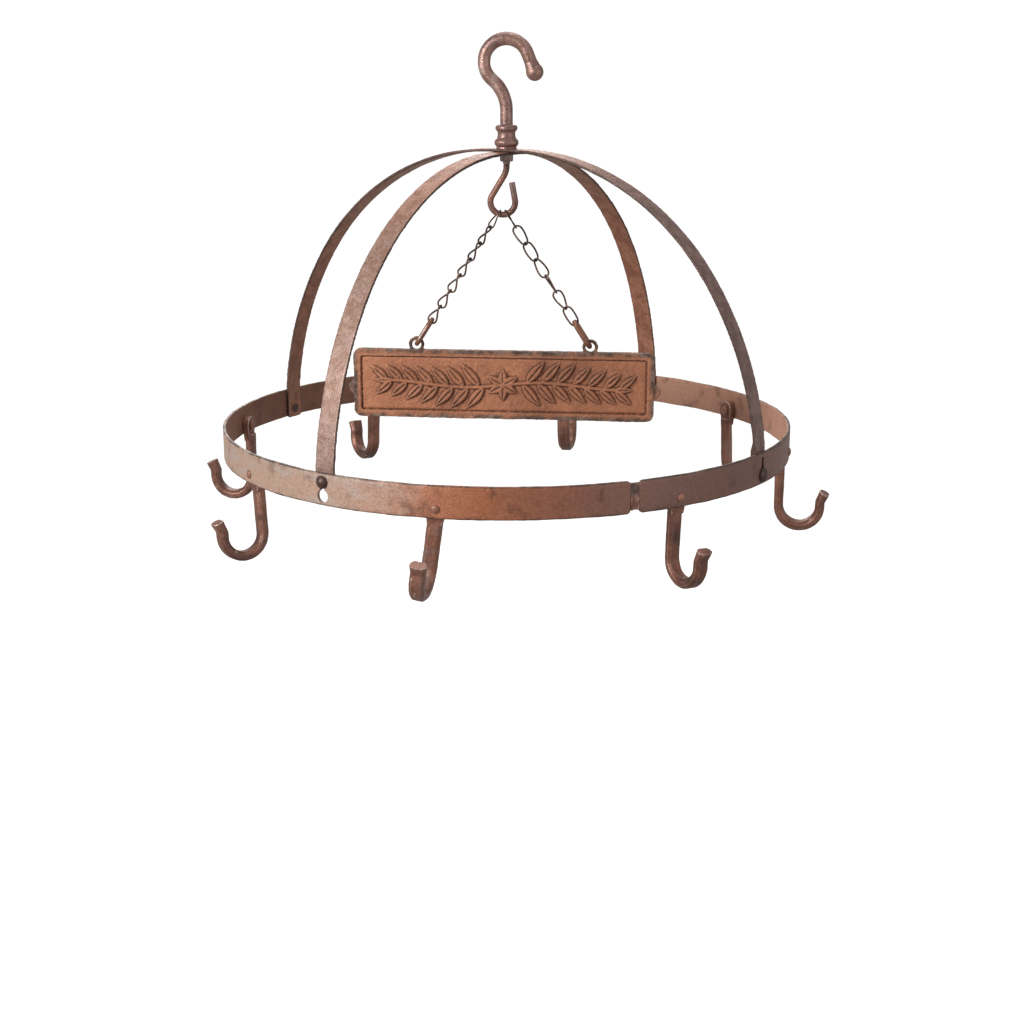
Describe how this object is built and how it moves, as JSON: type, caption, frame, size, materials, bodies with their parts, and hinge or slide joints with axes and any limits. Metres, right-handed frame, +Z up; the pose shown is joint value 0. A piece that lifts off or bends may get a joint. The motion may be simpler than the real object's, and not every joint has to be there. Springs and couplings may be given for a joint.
{
  "type": "hanging herb drying rack",
  "caption": "Dome-shaped hanging rack: a flat ring on two crossed half-hoop straps under a top hook, with swivelling J-hooks round the ring and a cast sign on two chains.",
  "frame": {"origin": "the point inside the top hook that bears on the ceiling hook", "axes": "+Z up, +X along the sign's length, -Y out of the sign's face"},
  "size_m": [0.4557, 0.4545, 0.3364],
  "materials": {
    "top_hook": "rust-brown oxide over forged iron, with worn grey highlights",
    "band": "flat steel bar under a thin rust-brown coat, worn to grey in patches",
    "strap": "flat steel bar under a thin rust-brown coat, worn to grey in patches",
    "stud": "dark hammered iron",
    "lower_hook": "rust-brown round wire",
    "drying_hook": "forged iron, rust-brown with bare edges",
    "chain_wire": "dark oxidised steel wire",
    "tie_wire": "rust-brown iron wire",
    "sign": "rough sand-cast iron with warm rust"
  },
  "bodies": {
    "rack": {"top_hook": "top_hook", "ring_band": "band", "ring_splice": "band", "upper_strap": "strap", "lower_strap": "strap", "strap_stud_1": "stud", "strap_stud_2": "stud", "strap_stud_3": "stud", "strap_stud_4": "stud", "hook_rivet_1": "stud", "hook_rivet_2": "stud", "hook_rivet_3": "stud", "hook_rivet_4": "stud", "hook_rivet_5": "stud", "hook_rivet_6": "stud", "hook_rivet_7": "stud", "hook_rivet_8": "stud", "hex_nut": "stud", "chain_hook": "lower_hook"},
    "drying_hook_1": {"drying_hook_1": "drying_hook"},
    "drying_hook_2": {"drying_hook_2": "drying_hook"},
    "drying_hook_3": {"drying_hook_3": "drying_hook"},
    "drying_hook_4": {"drying_hook_4": "drying_hook"},
    "drying_hook_5": {"drying_hook_5": "drying_hook"},
    "drying_hook_6": {"drying_hook_6": "drying_hook"},
    "drying_hook_7": {"drying_hook_7": "drying_hook"},
    "drying_hook_8": {"drying_hook_8": "drying_hook"},
    "link_pair_1": {"chain_link_left_1": "chain_wire", "chain_link_right_1": "chain_wire"},
    "link_pair_2": {"chain_link_left_2": "chain_wire", "chain_link_right_2": "chain_wire"},
    "link_pair_3": {"chain_link_left_3": "chain_wire", "chain_link_right_3": "chain_wire"},
    "link_pair_4": {"chain_link_left_4": "chain_wire", "chain_link_right_4": "chain_wire"},
    "link_pair_5": {"chain_link_left_5": "chain_wire", "chain_link_right_5": "chain_wire"},
    "link_pair_6": {"chain_link_left_6": "chain_wire", "chain_link_right_6": "chain_wire"},
    "link_pair_7": {"chain_link_left_7": "chain_wire", "chain_link_right_7": "chain_wire"},
    "tie_pair": {"tie_link_left": "tie_wire", "tie_link_right": "tie_wire"},
    "sign": {"sign_plate": "sign"}
  },
  "joints": [
    {"name": "hook_swivel_1", "type": "hinge", "parent": "rack", "child": "drying_hook_1", "pos_m": [0.19414, -0.02212, -0.2715], "axis": [0.9936, -0.1132, 0], "range_deg": [-25, 25]},
    {"name": "hook_swivel_2", "type": "hinge", "parent": "rack", "child": "drying_hook_2", "pos_m": [0.15868, 0.11402, -0.2715], "axis": [0.8121, 0.5835, 0], "range_deg": [-25, 25]},
    {"name": "hook_swivel_3", "type": "hinge", "parent": "rack", "child": "drying_hook_3", "pos_m": [0.02618, 0.19364, -0.2715], "axis": [0.134, 0.991, 0], "range_deg": [-25, 25]},
    {"name": "hook_swivel_4", "type": "hinge", "parent": "rack", "child": "drying_hook_4", "pos_m": [-0.12429, 0.15077, -0.2715], "axis": [-0.6361, 0.7716, 0], "range_deg": [-25, 25]},
    {"name": "hook_swivel_5", "type": "hinge", "parent": "rack", "child": "drying_hook_5", "pos_m": [-0.19414, 0.02212, -0.2715], "axis": [-0.9936, 0.1132, 0], "range_deg": [-25, 25]},
    {"name": "hook_swivel_6", "type": "hinge", "parent": "rack", "child": "drying_hook_6", "pos_m": [-0.15292, -0.12164, -0.2715], "axis": [-0.7826, -0.6225, 0], "range_deg": [-25, 25]},
    {"name": "hook_swivel_7", "type": "hinge", "parent": "rack", "child": "drying_hook_7", "pos_m": [-0.02212, -0.19414, -0.2715], "axis": [-0.1132, -0.9936, 0], "range_deg": [-25, 25]},
    {"name": "hook_swivel_8", "type": "hinge", "parent": "rack", "child": "drying_hook_8", "pos_m": [0.12297, -0.15185, -0.2715], "axis": [0.6293, -0.7771, 0], "range_deg": [-25, 25]},
    {"name": "sign_turn", "type": "hinge", "parent": "rack", "child": "link_pair_1", "pos_m": [-0.0026, 0, -0.1107], "axis": [0, 0, 1], "range_deg": [-12, 12]},
    {"name": "chain_swing_2", "type": "hinge", "parent": "link_pair_1", "child": "link_pair_2", "pos_m": [-0.0026, 0, -0.1218], "axis": [1, 0, 0], "range_deg": [-8, 8]},
    {"name": "chain_swing_3", "type": "hinge", "parent": "link_pair_2", "child": "link_pair_3", "pos_m": [-0.0026, 0, -0.13293], "axis": [1, 0, 0], "range_deg": [-8, 8]},
    {"name": "chain_swing_4", "type": "hinge", "parent": "link_pair_3", "child": "link_pair_4", "pos_m": [-0.0026, 0, -0.14406], "axis": [1, 0, 0], "range_deg": [-8, 8]},
    {"name": "chain_swing_5", "type": "hinge", "parent": "link_pair_4", "child": "link_pair_5", "pos_m": [-0.0026, 0, -0.1552], "axis": [1, 0, 0], "range_deg": [-8, 8]},
    {"name": "chain_swing_6", "type": "hinge", "parent": "link_pair_5", "child": "link_pair_6", "pos_m": [-0.0026, 0, -0.16633], "axis": [1, 0, 0], "range_deg": [-8, 8]},
    {"name": "chain_swing_7", "type": "hinge", "parent": "link_pair_6", "child": "link_pair_7", "pos_m": [-0.0026, 0, -0.17746], "axis": [1, 0, 0], "range_deg": [-8, 8]},
    {"name": "tie_swing", "type": "hinge", "parent": "link_pair_7", "child": "tie_pair", "pos_m": [-0.0026, 0, -0.18859], "axis": [1, 0, 0], "range_deg": [-12, 12]},
    {"name": "sign_tilt", "type": "hinge", "parent": "tie_pair", "child": "sign", "pos_m": [-0.0026, 0, -0.20433], "axis": [1, 0, 0], "range_deg": [-15, 15]}
  ]
}
